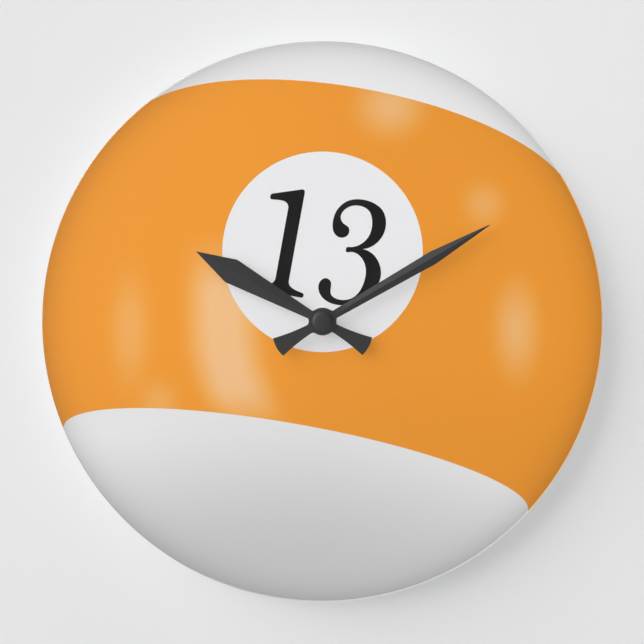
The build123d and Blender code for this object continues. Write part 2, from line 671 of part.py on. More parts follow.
def save_going_train():
    """Centre, third, seconds and fifth wheels, and the motor's rotor."""
    centre_turn = THIRD_DIRECTION
    third_pinion_turn = meshed_turn(centre_turn, CENTRE_TEETH, LEAVES, THIRD_DIRECTION)
    seconds_pinion_turn = THIRD_DIRECTION
    third_turn = meshed_turn(seconds_pinion_turn, LEAVES, THIRD_TEETH, THIRD_DIRECTION)
    seconds_turn = FIFTH_DIRECTION
    fifth_pinion_turn = meshed_turn(seconds_turn, SECONDS_TEETH, LEAVES, FIFTH_DIRECTION)
    fifth_turn = ROTOR_DIRECTION
    rotor_turn = meshed_turn(fifth_turn, FIFTH_TEETH, LEAVES, ROTOR_DIRECTION)

    hub = disc(1.3, BRIDGE_Z[1] + 0.1, CANNON_Z[0] - 0.1)
    centre = wheel(CENTRE_TEETH, CENTRE_M, centre_turn, ARBOR, CENTRE_WHEEL_Z, hub_r=3.0) + hub
    save("centre_wheel", centre - disc(SECONDS_R + RUNNING, BRIDGE_Z[1], CANNON_Z[0]))
    save("clutch_spring", clutch_spring())

    third = wheel(THIRD_TEETH, THIRD_M, third_turn, THIRD_AT, THIRD_WHEEL_Z, hub_r=2.0)
    save("third_wheel", third - disc(ARBOR_R, *THIRD_WHEEL_Z, THIRD_AT))
    third_arbor = arbor(THIRD_AT, PLATE_Z[0] - 0.6)
    save("third_pinion", third_arbor + pinion(LEAVES, CENTRE_M, third_pinion_turn, THIRD_AT, THIRD_PINION_Z))

    seconds = wheel(SECONDS_TEETH, SECONDS_M, seconds_turn, ARBOR, SECONDS_WHEEL_Z, hub_r=2.0)
    seconds += pinion(LEAVES, THIRD_M, seconds_pinion_turn, ARBOR, SECONDS_PINION_Z)
    seconds += disc(0.8, SECONDS_WHEEL_Z[0], SECONDS_PINION_Z[0])
    save("seconds_wheel", seconds - disc(SECONDS_R, SECONDS_WHEEL_Z[0], SECONDS_PINION_Z[1]))
    save("seconds_arbor", arbor(ARBOR, SECONDS_END, SECONDS_R))

    fifth = wheel(FIFTH_TEETH, FIFTH_M, fifth_turn, FIFTH_AT, FIFTH_WHEEL_Z, hub_r=1.5)
    fifth += disc(0.7, FIFTH_WHEEL_Z[0], FIFTH_PINION_Z[0], FIFTH_AT)
    fifth += pinion(LEAVES, SECONDS_M, fifth_pinion_turn, FIFTH_AT, FIFTH_PINION_Z)
    save("fifth_wheel", fifth + arbor(FIFTH_AT, BRIDGE_Z[1]))

    rotor = pinion(LEAVES, FIFTH_M, rotor_turn, ROTOR_AT, ROTOR_PINION_Z)
    save("rotor_pinion", rotor + arbor(ROTOR_AT, BRIDGE_Z[1]))
    save("rotor_magnet", ring(MAGNET_R, ARBOR_R, *MAGNET_Z, ROTOR_AT))


def clutch_spring():
    """Coned washer on the centre wheel's hub: it drives the cannon pinion by friction."""
    section = Polyline((1.3, 10.3), (2.4, 10.8), (2.4, 10.95), (1.3, 10.45), close=True)
    upright = Plane.XZ * make_face(section)
    return revolve(upright, Axis.Z)


# ---- hands ------------------------------------------------------------------------------------------------

def tail_edges():
    """The counterweight behind the pivot: sides that flare, and an end that bulges in an arc."""
    corner = (-TAIL_R * cos(radians(TAIL_SPREAD)), TAIL_R * sin(radians(TAIL_SPREAD)))
    side = Spline(corner, (-15.0, 3.0), (0, HAND_ROOT), tangents=[(1, -0.24), (1, 0)])
    end_r = (corner[1] ** 2 + TAIL_BULGE ** 2) / (2 * TAIL_BULGE)
    middle = (corner[0] - TAIL_BULGE, 0)
    centre = (middle[0] + end_r, 0)
    half_sweep = degrees(asin(corner[1] / end_r))
    return [ThreePointArc(middle, step(centre, 180 - half_sweep / 2, end_r), corner), side]


def hour_blade():
    """One edge of the hour hand: it widens in a straight line to rounded shoulders, then runs to a point."""
    return tail_edges() + [
        Line((0, HAND_ROOT), (5.5, HAND_ROOT)),
        Line((5.5, HAND_ROOT), (48.6, 6.0)),
        ThreePointArc((48.6, 6.0), (50.7, 6.08), (52.2, 5.65)),
        Line((52.2, 5.65), (70.0, 0)),
    ]


def minute_blade():
    """One edge of the minute hand: it widens slowly, then tapers to a fine point."""
    return tail_edges() + [
        Line((0, HAND_ROOT), (5.5, HAND_ROOT)),
        Line((5.5, HAND_ROOT), (57.0, 3.15)),
        ThreePointArc((57.0, 3.15), (60.2, 3.27), (63.0, 3.15)),
        Line((63.0, 3.15), (93.1, 0.24)),
        Line((93.1, 0.24), (93.4, 0)),
    ]


def hand(edges, turn, z, bore_r):
    """A hand with a ridge along its middle, a hub disc and a short collar behind the hub."""
    half = Curve() + edges
    outline = make_face(half + mirror(half, Plane.XZ))
    length = 220.0
    half_w = 6.2
    roof = [(-half_w, 0), (half_w, 0), (half_w, HAND_EDGE_T), (0, HAND_RIDGE_T), (-half_w, HAND_EDGE_T)]
    section = Plane.YZ * make_face(Polyline(*roof, close=True))
    ridge = extrude(section, amount=length / 2, both=True)
    blade = slab(outline, 0, HAND_RIDGE_T) & ridge
    blade += disc(HUB_R, 0, HAND_RIDGE_T)
    blade += disc(bore_r + 1.2, -HAND_COLLAR_T, 0)
    blade -= disc(bore_r, -HAND_COLLAR_T, HAND_RIDGE_T)
    return Pos(0, 0, z) * (Rotation(0, 0, turn) * blade)


def hand_cap():
    """Domed cap pressed over the end of the minute pipe."""
    foot = MINUTE_HAND_Z + HAND_RIDGE_T
    cap = disc(CAP_R, foot, foot + CAP_T)
    cap = fillet(cap.edges().sort_by(Axis.Z)[-1], 0.9)
    return cap - disc(MINUTE_PIPE_R, foot, MINUTE_PIPE_END + 0.1)


def save_hands():
    save("hour_hand", hand(hour_blade(), HOUR_HAND_TURN, HOUR_HAND_Z, HOUR_PIPE_R))
    save("minute_hand", hand(minute_blade(), MINUTE_HAND_TURN, MINUTE_HAND_Z, MINUTE_PIPE_R))
    save("hand_cap", hand_cap())


os.makedirs("parts", exist_ok=True)
save_dial()
save_stack()
save_case()
save_works()
save_battery()
save_motion_work()
save_going_train()
save_hands()
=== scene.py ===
import json
from math import atan2, cos, hypot, pi, radians, sin

import bmesh
import bpy
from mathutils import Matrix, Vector


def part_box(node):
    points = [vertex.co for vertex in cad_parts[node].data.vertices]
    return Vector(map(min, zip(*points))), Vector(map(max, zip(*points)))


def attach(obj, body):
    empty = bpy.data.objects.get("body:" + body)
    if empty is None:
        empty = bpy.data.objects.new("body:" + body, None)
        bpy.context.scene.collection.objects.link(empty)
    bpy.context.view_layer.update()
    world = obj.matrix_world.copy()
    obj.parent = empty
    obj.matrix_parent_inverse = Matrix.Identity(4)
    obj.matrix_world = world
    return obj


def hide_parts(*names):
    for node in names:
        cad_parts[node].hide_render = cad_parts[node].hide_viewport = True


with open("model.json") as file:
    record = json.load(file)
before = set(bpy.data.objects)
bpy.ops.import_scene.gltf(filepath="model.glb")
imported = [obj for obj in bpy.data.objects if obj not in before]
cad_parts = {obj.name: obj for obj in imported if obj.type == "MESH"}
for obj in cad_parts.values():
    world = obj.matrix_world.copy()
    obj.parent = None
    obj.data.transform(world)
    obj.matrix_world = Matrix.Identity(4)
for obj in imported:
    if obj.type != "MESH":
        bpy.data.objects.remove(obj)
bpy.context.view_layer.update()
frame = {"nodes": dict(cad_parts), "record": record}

# Round acrylic wall clock whose dial is printed like a billiard ball.
#
# Shapes are worked out in the clock's face frame, in millimetres: x to the right and y up as the reader
# sees the dial, and z from the wall towards the reader. place() turns such a point into Blender's frame,
# in metres. Angles around the dial are counted anticlockwise from the reader's right.

MM = 0.001
scene = bpy.context.scene


def place(x, y, z):
    """A point of the face frame, in Blender's frame."""
    return Vector((x * MM, -z * MM, y * MM))


def span(node):
    """A CAD node's x, y and z limits in the face frame, in millimetres."""
    low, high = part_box(node)
    return (low.x / MM, high.x / MM), (low.z / MM, high.z / MM), (-high.y / MM, -low.y / MM)


# ---- sizes -------------------------------------------------------------------------------------------

DIAL_R = span("dial_disc")[0][1]
DIAL_Z = span("dial_disc")[2]    # its rear and front faces
HOLE_R = 4.1                     # the hole through the dial
BEVEL = 0.6                      # width and depth of the bevels on the dial's rim
FLAT_R = DIAL_R - BEVEL          # where the dial's flat faces end
HOUR_TURN = radians(151)         # where the hands point at rest
MINUTE_TURN = radians(30)
HUB_R = 6.7                      # the round hub of either hand
HOUR_BORE = 2.5                  # radius of the hour hand's bore
MINUTE_BORE = 1.74               # radius of the minute hand's bore, and of the cap's
LIGHT_FROM = radians(150)        # the side of the dial that the key light comes from


# ---- small mesh tools --------------------------------------------------------------------------------

def piece_from(name, bm, slot, body=None, sharp=30):
    """An object from a bmesh in Blender's frame, in its slot's material. A finished piece has a body."""
    bmesh.ops.remove_doubles(bm, verts=bm.verts, dist=1e-7)
    bmesh.ops.recalc_face_normals(bm, faces=bm.faces)
    mesh = bpy.data.meshes.new(name)
    bm.to_mesh(mesh)
    bm.free()
    mesh.polygons.foreach_set("use_smooth", [True] * len(mesh.polygons))
    mesh.set_sharp_from_angle(angle=radians(sharp))
    mesh.materials.append(MATERIALS[slot])
    piece = bpy.data.objects.new(name, mesh)
    scene.collection.objects.link(piece)
    if body:
        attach(piece, body)
    return piece


def grid(bm, rows, close_rows=True):
    """Quads over rows of points; each row is a loop, and the last row can join the first."""
    made = [[bm.verts.new(point) for point in row] for row in rows]
    pairs = len(made) if close_rows else len(made) - 1
    for i in range(pairs):
        row, other = made[i], made[(i + 1) % len(made)]
        for j in range(len(row)):
            k = (j + 1) % len(row)
            bm.faces.new((row[j], row[k], other[k], other[j]))
    return made


def soften(points, radius, steps=3):
    """A closed profile with every corner rounded off by about this radius."""
    rounded = []
    for i, corner in enumerate(points):
        ends = []
        for other in (points[i - 1], points[(i + 1) % len(points)]):
            away = Vector(other) - Vector(corner)
            reach = min(radius, away.length * 0.45)
            ends.append(Vector(corner) + away.normalized() * reach)
        for k in range(steps + 1):
            t = k / steps
            rounded.append(ends[0] * (1 - t) ** 2 + Vector(corner) * 2 * t * (1 - t) + ends[1] * t ** 2)
    return rounded


def lathe(bm, profile, steps):
    """Turn a closed profile of (radius, z) about the clock's own axis."""
    rows = []
    for i in range(steps):
        a = 2 * pi * i / steps
        rows.append([place(r * cos(a), r * sin(a), z) for r, z in profile])
    grid(bm, rows)


def lathe_along_x(bm, profile, y, z):
    """Turn a closed profile of (radius, x) about the line through y and z that runs to the right."""
    steps = 96
    rows = []
    for i in range(steps):
        a = 2 * pi * i / steps
        rows.append([place(x, y + r * cos(a), z + r * sin(a)) for r, x in profile])
    grid(bm, rows)


def boolean(piece, other, operation):
    """Cut another object out of this one, or join it on, and drop the other."""
    modifier = piece.modifiers.new(operation.lower(), "BOOLEAN")
    modifier.object = other
    modifier.operation = operation
    modifier.solver = "EXACT"
    bpy.context.view_layer.update()
    graph = bpy.context.evaluated_depsgraph_get()
    result = bpy.data.meshes.new_from_object(piece.evaluated_get(graph))
    piece.modifiers.remove(modifier)
    old = piece.data
    piece.data = result
    result.name = old.name
    bpy.data.meshes.remove(old)
    bpy.data.objects.remove(other)


# ---- small shader tools ------------------------------------------------------------------------------

class Shader:
    """A material or world under construction. A node's inputs are given as plain values or as sockets."""

    def __init__(self, name, kind="materials", position="Object"):
        """Start with no nodes but the one that gives a point's position, in metres."""
        self.made = getattr(bpy.data, kind).new(name)
        self.made.use_nodes = True
        self.tree = self.made.node_tree
        self.tree.nodes.clear()
        self.where = self.add("ShaderNodeTexCoord").outputs[position]

    def feed(self, socket, value):
        """Link an input to another node's output, or set its value."""
        if isinstance(value, bpy.types.NodeSocket):
            self.tree.links.new(value, socket)
        else:
            socket.default_value = value

    def add(self, kind, inputs=None, **settings):
        """A new node with these settings and inputs."""
        node = self.tree.nodes.new(kind)
        for key, value in settings.items():
            setattr(node, key, value)
        for key, value in (inputs or {}).items():
            self.feed(node.inputs[key], value)
        return node

    def math(self, operation, a, b=0.0):
        """The number that comes out of an operation on one or two numbers."""
        return self.add("ShaderNodeMath", {0: a, 1: b}, operation=operation).outputs[0]

    def vector_math(self, operation, a, b=(0, 0, 0)):
        """The number that comes out of a vector operation, such as a length or a dot product."""
        return self.add("ShaderNodeVectorMath", {0: a, 1: b}, operation=operation).outputs["Value"]

    def millimetres(self):
        """The x and y of the face frame, in millimetres."""
        parts = self.add("ShaderNodeSeparateXYZ", {0: self.where}).outputs
        return self.math("MULTIPLY", parts["X"], 1 / MM), self.math("MULTIPLY", parts["Z"], 1 / MM)

    def choose(self, share, a, b):
        """The number a, turning into b as share goes from 0 to 1."""
        return self.add("ShaderNodeMix", {0: share, 2: a, 3: b}, data_type="FLOAT").outputs[0]

    def ramp(self, value, start, end, low=0.0, high=1.0, smooth=True):
        """low at start, high at end, and an easy curve or a straight line between them."""
        kind = "SMOOTHSTEP" if smooth else "LINEAR"
        inputs = {"Value": value, "From Min": start, "From Max": end, "To Min": low, "To Max": high}
        return self.add("ShaderNodeMapRange", inputs, interpolation_type=kind).outputs["Result"]

    def noise(self, size, detail=3.0, stretch=(1, 1, 1)):
        """Soft noise whose features are about this many millimetres across; stretch lengthens them."""
        scale = [1 / (size * MM * s) for s in stretch]
        mapping = self.add("ShaderNodeMapping", {"Vector": self.where, "Scale": scale})
        inputs = {"Vector": mapping.outputs[0], "Scale": 1.0, "Detail": detail}
        return self.add("ShaderNodeTexNoise", inputs).outputs["Fac"]

    def mix(self, share, a, b, blend="MIX"):
        """The colour a, with b laid over it in the way of blend, more so as share goes from 0 to 1."""
        node = self.add("ShaderNodeMix", data_type="RGBA", blend_type=blend)
        sockets = {(socket.name, socket.type): socket for socket in node.inputs}
        self.feed(sockets["Factor", "VALUE"], share)
        self.feed(sockets["A", "RGBA"], a)
        self.feed(sockets["B", "RGBA"], b)
        return next(socket for socket in node.outputs if socket.type == "RGBA")

    def grey(self, value):
        """A grey of this level, as a colour."""
        return self.add("ShaderNodeCombineColor", {0: value, 1: value, 2: value}).outputs[0]

    def bump(self, height, depth, normal=None):
        """Normals disturbed by a height of this many millimetres."""
        inputs = {"Height": height, "Distance": depth * MM, "Strength": 1.0}
        if normal:
            inputs["Normal"] = normal
        return self.add("ShaderNodeBump", inputs).outputs[0]

    def round_edges(self, radius):
        """Normals of a surface whose edges are rounded to this many millimetres."""
        return self.add("ShaderNodeBevel", {"Radius": radius * MM}, samples=4).outputs[0]

    def flatness(self, rounded):
        """1 on flat faces, and less along the edges that round_edges() has rounded."""
        return self.vector_math("DOT_PRODUCT", rounded, self.add("ShaderNodeNewGeometry").outputs["Normal"])

    def principled(self, **inputs):
        """A principled shader; base_color stands for its input Base Color, and so on."""
        named = {}
        for key, value in inputs.items():
            named[key.replace("_", " ").title().replace("Ior", "IOR")] = value
        return self.add("ShaderNodeBsdfPrincipled", named).outputs[0]

    def done(self, surface, output="ShaderNodeOutputMaterial"):
        """The finished material or world."""
        self.add(output, {"Surface": surface})
        return self.made


def grey_level(value):
    """A fixed grey, as linear light."""
    return (value, value, value, 1.0)


def rgb(red, green, blue):
    """A screen colour, 0 to 255, as linear light."""
    def linear(value):
        v = value / 255
        return v / 12.92 if v <= 0.04045 else ((v + 0.055) / 1.055) ** 2.4
    return (linear(red), linear(green), linear(blue), 1.0)


# ---- printed dial ------------------------------------------------------------------------------------

SPOTS = [                        # light patches printed on the stripe: centre, half sizes and strength
    ((-93.5, -4), (15, 42), 0.22),
    ((-79.5, -40), (15, 18), 0.20),
    ((94.5, -4), (17, 36), 0.33),
    ((78.5, 57), (16, 17), 0.24),
    ((33, 105), (25, 23), 0.38),
]
GLEAM = 0.44                     # strength of the tall curved patch left of the hub
ORANGE = (237 / 255, 150 / 255, 49 / 255, 1.0)
PATCH = (243 / 255, 236 / 255, 238 / 255, 1.0)


def rim_shade(s, x, y):
    """Printed darkening towards the rim, as on a ball."""
    deepest, reach = 0.17, 6.5
    r = s.vector_math("LENGTH", s.add("ShaderNodeCombineXYZ", {0: x, 1: y}).outputs[0])
    inside = s.math("SUBTRACT", DIAL_R, r)
    fall = s.math("EXPONENT", s.math("DIVIDE", inside, -reach))
    return s.math("SUBTRACT", 1.0, s.math("MULTIPLY", fall, deepest))


def spot(s, x, y, centre, half, strength):
    """A soft oval patch: strength in its middle, nothing past its half sizes."""
    across = s.math("DIVIDE", s.math("SUBTRACT", x, centre[0]), half[0])
    along = s.math("DIVIDE", s.math("SUBTRACT", y, centre[1]), half[1])
    square = s.math("ADD", s.math("MULTIPLY", across, across), s.math("MULTIPLY", along, along))
    far = s.math("SQRT", square)
    return s.ramp(far, 1.0, 0.0, 0.0, strength)


def gleam(s, x, y):
    """The tall patch: a band with soft edges, which bends to the right below the hub."""
    left_of_hub, bend = 48.0, 0.0058
    low = s.math("MINIMUM", y, 0.0)
    lean = s.math("MULTIPLY", s.math("MULTIPLY", low, low), bend)
    across = s.math("SUBTRACT", x, s.math("SUBTRACT", lean, left_of_hub))
    sides = s.math("MULTIPLY", s.ramp(across, -24, -5), s.ramp(across, 24, 4))
    ends = s.math("MULTIPLY", s.ramp(y, 47, 12), s.ramp(y, -58, -31))
    return s.math("MULTIPLY", s.math("MULTIPLY", sides, ends), GLEAM)


def print_colour(s, tone, tint):
    """Screen tone times tint, with the print's fine grain, as linear light."""
    grain = s.ramp(s.noise(0.5, 2.0), 0.3, 0.7, 0.992, 1.004, smooth=False)
    shade = s.grey(s.math("MULTIPLY", tone, grain))
    colour = s.mix(1.0, tint, shade, "MULTIPLY")
    return s.add("ShaderNodeGamma", {"Color": colour, "Gamma": 2.2}).outputs[0]


def ink(s, colour, roughness=0.42, gloss=0.35):
    """Cured ink: satin, with the slight waviness of a flat-bed print."""
    rough = s.ramp(s.noise(6.0), 0.3, 0.7, roughness - 0.05, roughness + 0.05, smooth=False)
    normal = s.bump(s.noise(1.2, 2.0), 0.002)
    shader = s.principled(base_color=colour, roughness=rough, specular_ior_level=gloss, normal=normal)
    return s.done(shader)


def white_tone(s, x, y):
    """White areas: bright at the top, and greyest at the foot of the ball, a little left of its middle."""
    lower = s.ramp(y, -118, -35, 193 / 255, 225 / 255)
    upper = s.ramp(y, -35, 60, 0.0, 8 / 255)
    off_centre = s.math("ADD", x, 20.0)
    valley = s.math("MULTIPLY", s.math("MULTIPLY", off_centre, off_centre), 0.0012 / 255)
    valley = s.math("MULTIPLY", valley, s.ramp(y, -30, -60))
    tone = s.math("ADD", s.math("ADD", lower, upper), valley)
    return s.math("MULTIPLY", tone, rim_shade(s, x, y))


def orange_tone(s, x, y):
    """The stripe: a little deeper to the right and lower down."""
    right = s.ramp(x, -60, 50, 0.0, 0.026)
    low = s.ramp(y, 0, -80, 0.0, 0.032)
    even = s.math("SUBTRACT", s.math("SUBTRACT", 1.0, right), low)
    return s.math("MULTIPLY", even, rim_shade(s, x, y))


def print_white():
    """The white that covers the whole dial."""
    s = Shader("print_white")
    x, y = s.millimetres()
    return ink(s, print_colour(s, white_tone(s, x, y), (1.0, 0.998, 1.0, 1.0)))


def print_orange():
    """The stripe, with its soft light patches."""
    s = Shader("print_orange")
    x, y = s.millimetres()
    light = gleam(s, x, y)
    for centre, half, strength in SPOTS:
        light = s.math("ADD", light, spot(s, x, y, centre, half, strength))
    return ink(s, print_colour(s, orange_tone(s, x, y), s.mix(light, ORANGE, PATCH)))


def print_dot():
    """The round white spot behind the numerals."""
    s = Shader("print_dot")
    _, y = s.millimetres()
    tone = s.ramp(y, -12, 40, 229 / 255, 232 / 255)
    return ink(s, print_colour(s, tone, (1.0, 1.0, 1.008, 1.0)))


def print_black():
    """The numerals: black with a slight cloudy sheen."""
    s = Shader("print_black")
    sheen = s.ramp(s.noise(18.0, 1.0), 0.35, 0.75, 16 / 255, 30 / 255)
    return ink(s, print_colour(s, sheen, (1.0, 1.0, 1.0, 1.0)), roughness=0.5, gloss=0.2)


# ---- acrylic -----------------------------------------------------------------------------------------

ACRYLIC_IOR = 1.49
ACRYLIC_TINT = (0.93, 0.96, 0.95, 1.0)
WHITE_EDGE = (0.86, 0.86, 0.87, 1.0)          # the bevel beside the white print
PAINTED_WHITE_GLOW = grey_level(0.42)                 # painted glow (emission) that comes out of it, beside the white and the stripe
PAINTED_ORANGE_GLOW = (0.46, 0.36, 0.25, 1.0)


def stripe_sectors():
    """Where the stripe reaches the rim, right and left: its side, middle angle and half width in radians.

    The left side's angles are those of its mirror image on the right.
    """
    sectors = []
    at_rim = FLAT_R - 0.1
    points = [(v.co.x / MM, v.co.z / MM) for v in frame["nodes"]["print_orange_band"].data.vertices]
    for side in (1, -1):
        angles = [atan2(y, x * side) for x, y in points if hypot(x, y) > at_rim and x * side > 0]
        sectors.append((side, (min(angles) + max(angles)) / 2, (max(angles) - min(angles)) / 2))
    return sectors


def in_stripe(s, x, y):
    """1 where a point of the rim is beside the stripe, and 0 beside the white."""
    beside = 0.0
    for side, middle, half in stripe_sectors():
        angle = s.math("ARCTAN2", y, s.math("MULTIPLY", x, float(side)))
        off = s.math("ABSOLUTE", s.math("SUBTRACT", angle, middle))
        beside = s.math("ADD", beside, s.math("LESS_THAN", off, half))
    return beside


def painted_glow_bevel(s):
    """The front bevel: it picks up the print beside it, with a painted glow on the side away from the key
    light.
    """
    x, y = s.millimetres()
    tone = s.grey(orange_tone(s, x, y))
    stripe = in_stripe(s, x, y)
    beside = s.mix(1.0, s.mix(stripe, WHITE_EDGE, ORANGE), tone, "MULTIPLY")
    print_edge = s.add("ShaderNodeGamma", {"Color": beside, "Gamma": 2.2}).outputs[0]
    across = s.math("MULTIPLY", x, -cos(LIGHT_FROM) / DIAL_R)
    down = s.math("MULTIPLY", y, -sin(LIGHT_FROM) / DIAL_R)
    # Painted glow: emission, strongest on the side away from the key light, standing in for light piped
    # through the sheet.
    painted_glow = s.ramp(s.math("ADD", across, down), -0.1, 0.6)
    painted_edge_glow = s.mix(painted_glow, grey_level(0.0), s.mix(stripe, PAINTED_WHITE_GLOW, PAINTED_ORANGE_GLOW))
    return s.principled(
        base_color=print_edge, roughness=0.25, ior=ACRYLIC_IOR, specular_ior_level=0.5,
        emission_color=painted_edge_glow, emission_strength=1.0,
    )


def clear_sheet(s):
    """The sheet itself, with fine scratches and a slow waviness."""
    scratches = s.ramp(s.noise(0.8, 4.0, (1, 1, 12)), 0.35, 0.7, 0.03, 0.12)
    return s.principled(
        base_color=ACRYLIC_TINT, roughness=scratches, transmission_weight=1.0, ior=ACRYLIC_IOR,
        normal=s.bump(s.noise(40.0, 1.0), 0.02),
    )


def acrylic():
    """Clear cast sheet with a front bevel that has a painted glow. Shadow and bounce rays go straight
    through it.
    """
    s = Shader("acrylic")
    normal = s.add("ShaderNodeNewGeometry").outputs["Normal"]
    forwards = s.ramp(s.add("ShaderNodeSeparateXYZ", {0: normal}).outputs["Y"], -0.2, -0.6)
    share = s.math("MULTIPLY", forwards, 0.92)
    body = s.add("ShaderNodeMixShader", {0: share, 1: clear_sheet(s), 2: painted_glow_bevel(s)}).outputs[0]
    path = s.add("ShaderNodeLightPath").outputs
    soft = s.math("MAXIMUM", path["Is Shadow Ray"], path["Is Diffuse Ray"])
    through = s.add("ShaderNodeBsdfTransparent", {"Color": ACRYLIC_TINT}).outputs[0]
    return s.done(s.add("ShaderNodeMixShader", {0: soft, 1: body, 2: through}).outputs[0])


# ---- plain materials ---------------------------------------------------------------------------------

def plastic(name, colour, roughness, grain=0.35, depth=0.012, edge=0.15, gloss=0.5):
    """Injection-moulded plastic: spark-eroded grain, slight flow marks and softened edges."""
    s = Shader(name)
    flow = s.noise(9.0, 4.0, (1, 1, 3))
    shade = s.mix(s.ramp(flow, 0.3, 0.7), colour, [c * 0.82 for c in colour[:3]] + [1.0])
    edges = s.round_edges(edge)
    normal = s.bump(s.noise(grain, 2.0), depth, edges)
    rough = s.ramp(flow, 0.3, 0.7, roughness - 0.06, roughness + 0.08)
    return s.done(s.principled(base_color=shade, roughness=rough, specular_ior_level=gloss, normal=normal))


def metal(name, colour, roughness, stretch=(1, 1, 1), tarnish=0.35):
    """Metal with a tooled grain and cloudy tarnish; edges are worn bright."""
    s = Shader(name)
    cloud = s.ramp(s.noise(5.0, 5.0), 0.35, 0.75)
    dull = [c * (1 - tarnish) for c in colour[:3]] + [1.0]
    bright = [min(1.0, c * 1.15) for c in colour[:3]] + [1.0]
    edges = s.round_edges(0.1)
    worn = s.ramp(s.flatness(edges), 0.99, 0.9)
    shade = s.mix(worn, s.mix(cloud, colour, dull), bright)
    lines = s.noise(0.25, 2.0, stretch)
    clouded = s.ramp(cloud, 0, 1, roughness, roughness + 0.15)
    rough = s.math("ADD", clouded, s.ramp(lines, 0.3, 0.7, -0.05, 0.05))
    normal = s.bump(lines, 0.003, edges)
    return s.done(s.principled(base_color=shade, metallic=1.0, roughness=rough, normal=normal))


def hand_paint():
    """Satin black powder coat with fine orange peel, a little greyer along edges."""
    s = Shader("hand_black")
    edges = s.round_edges(0.12)
    speckle = s.ramp(s.noise(0.4, 3.0), 0.35, 0.7)
    shade = s.mix(speckle, rgb(29, 29, 30), rgb(36, 36, 37))
    shade = s.mix(s.ramp(s.flatness(edges), 0.995, 0.9, 0.0, 0.6), shade, rgb(62, 62, 64))
    normal = s.bump(s.noise(0.5, 2.0), 0.004, edges)
    rough = s.ramp(s.noise(3.0, 3.0), 0.3, 0.7, 0.36, 0.46)
    return s.done(s.principled(base_color=shade, roughness=rough, normal=normal))


def winding():
    """Enamelled copper wire: fine turns side by side, with painted shade between the turns."""
    wire = 0.22
    s = Shader("copper_winding")
    height = s.add("ShaderNodeSeparateXYZ", {0: s.where}).outputs["Z"]
    turn = s.math("FRACT", s.math("MULTIPLY", height, 1 / (wire * MM)))
    crown = s.math("SINE", s.math("MULTIPLY", turn, pi))
    # Painted shade: the copper is darkest in the groove between turns and lightest on each turn's crown.
    painted_groove_shade = s.mix(s.ramp(crown, 0.0, 0.6), (0.16, 0.04, 0.015, 1.0), (0.78, 0.33, 0.16, 1.0))
    shade = s.mix(s.ramp(s.noise(1.5, 3.0), 0.35, 0.7), painted_groove_shade, (0.55, 0.2, 0.09, 1.0))
    normal = s.bump(crown, 0.05, s.round_edges(0.1))
    shader = s.principled(base_color=shade, metallic=0.8, roughness=0.3, coat_weight=0.5, normal=normal)
    return s.done(shader)


def board():
    """Green lacquered circuit board with pale tracks showing through the lacquer."""
    s = Shader("board")
    x, y = s.millimetres()
    tracks = s.math("LESS_THAN", s.math("FRACT", s.math("MULTIPLY", y, 0.8)), 0.35)
    joints = s.math("LESS_THAN", s.math("FRACT", s.math("MULTIPLY", x, 0.21)), 0.86)
    lacquer = s.mix(s.ramp(s.noise(0.7, 4.0), 0.3, 0.7), (0.012, 0.09, 0.03, 1.0), (0.02, 0.13, 0.05, 1.0))
    shade = s.mix(s.math("MULTIPLY", tracks, joints), lacquer, (0.06, 0.22, 0.08, 1.0))
    normal = s.bump(s.noise(0.4, 3.0), 0.01, s.round_edges(0.08))
    return s.done(s.principled(base_color=shade, roughness=0.35, coat_weight=0.3, normal=normal))


def sleeve():
    """Shrunk sleeve of the cell: dark blue, with a silver band at the nub end and a thin ring before it."""
    s = Shader("cell_jacket")
    x, _ = s.millimetres()
    band = s.math("GREATER_THAN", x, 12.0)
    line = s.math("LESS_THAN", s.math("ABSOLUTE", s.math("SUBTRACT", x, 9.5)), 0.6)
    scuffs = s.ramp(s.noise(1.6, 5.0, (6, 1, 1)), 0.62, 0.75, 0.0, 0.25)
    shade = s.mix(s.math("MAXIMUM", band, line), (0.012, 0.035, 0.11, 1.0), (0.55, 0.56, 0.58, 1.0))
    shade = s.mix(scuffs, shade, (0.5, 0.5, 0.52, 1.0))
    metallic = s.ramp(band, 0, 1, 0.1, 0.85)
    normal = s.bump(s.noise(2.5, 2.0, (4, 1, 1)), 0.02)
    shader = s.principled(
        base_color=shade, metallic=metallic, roughness=0.28, coat_weight=0.6, normal=normal,
    )
    return s.done(shader)


